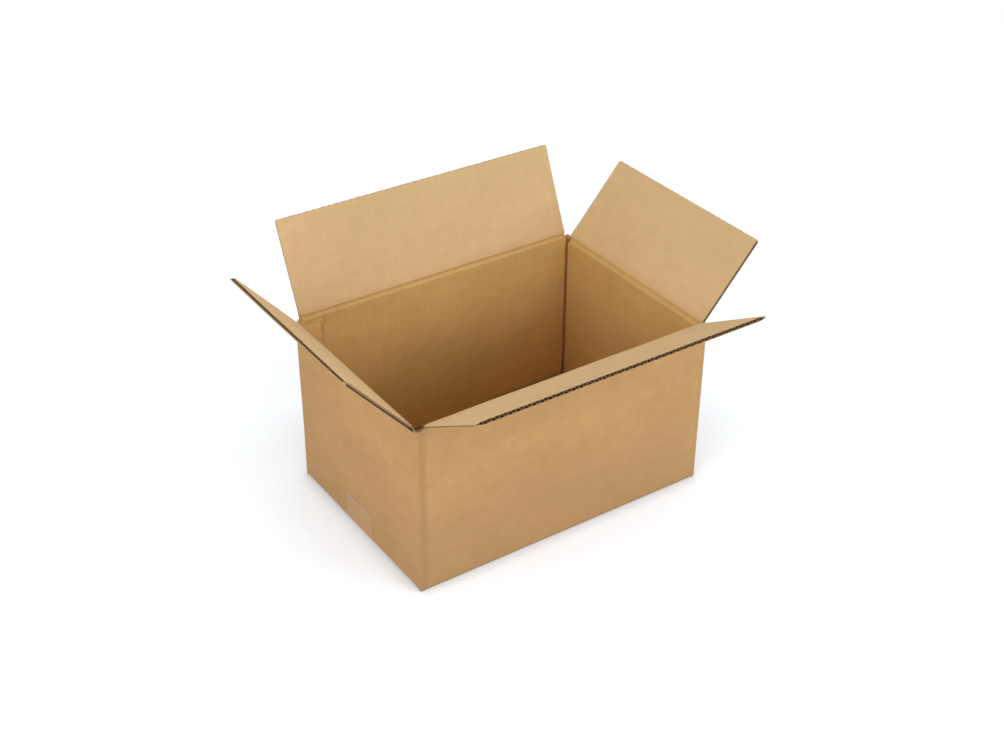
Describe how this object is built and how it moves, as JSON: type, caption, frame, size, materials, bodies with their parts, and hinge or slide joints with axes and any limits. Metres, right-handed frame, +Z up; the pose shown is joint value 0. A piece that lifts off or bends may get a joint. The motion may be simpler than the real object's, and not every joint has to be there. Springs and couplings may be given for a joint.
{
  "type": "cardboard box",
  "caption": "Open kraft cardboard shipping box: a folded sheet of corrugated board with hinged top flaps, a glued corner and a taped bottom, for packing goods.",
  "frame": {"origin": "middle of the underside, where the box stands", "axes": "+X along the long walls to the right, +Y towards the back wall, +Z up; the front wall faces -Y"},
  "size_m": [0.4459, 0.3405, 0.2651],
  "materials": {
    "kraft_board": "matt brown kraft paper over flutes",
    "sealing_tape": "thin satin packing tape"
  },
  "bodies": {
    "carton": {"carton_body": "kraft_board", "bottom_tape": "sealing_tape"},
    "front_flap": {"front_flap": "kraft_board"},
    "back_flap": {"back_flap": "kraft_board"},
    "left_flap": {"left_flap": "kraft_board"},
    "right_flap": {"right_flap": "kraft_board"}
  },
  "joints": [
    {"name": "front_flap_fold", "type": "hinge", "parent": "carton", "child": "front_flap", "pos_m": [0, -0.111, 0.176], "axis": [1, 0, 0], "range_deg": [-149, 111]},
    {"name": "back_flap_fold", "type": "hinge", "parent": "carton", "child": "back_flap", "pos_m": [0, 0.111, 0.176], "axis": [-1, 0, 0], "range_deg": [-113, 147]},
    {"name": "left_flap_fold", "type": "hinge", "parent": "carton", "child": "left_flap", "pos_m": [-0.16, 0, 0.1716], "axis": [0, -1, 0], "range_deg": [-132, 128]},
    {"name": "right_flap_fold", "type": "hinge", "parent": "carton", "child": "right_flap", "pos_m": [0.16, 0, 0.1716], "axis": [0, 1, 0], "range_deg": [-131, 129]}
  ]
}
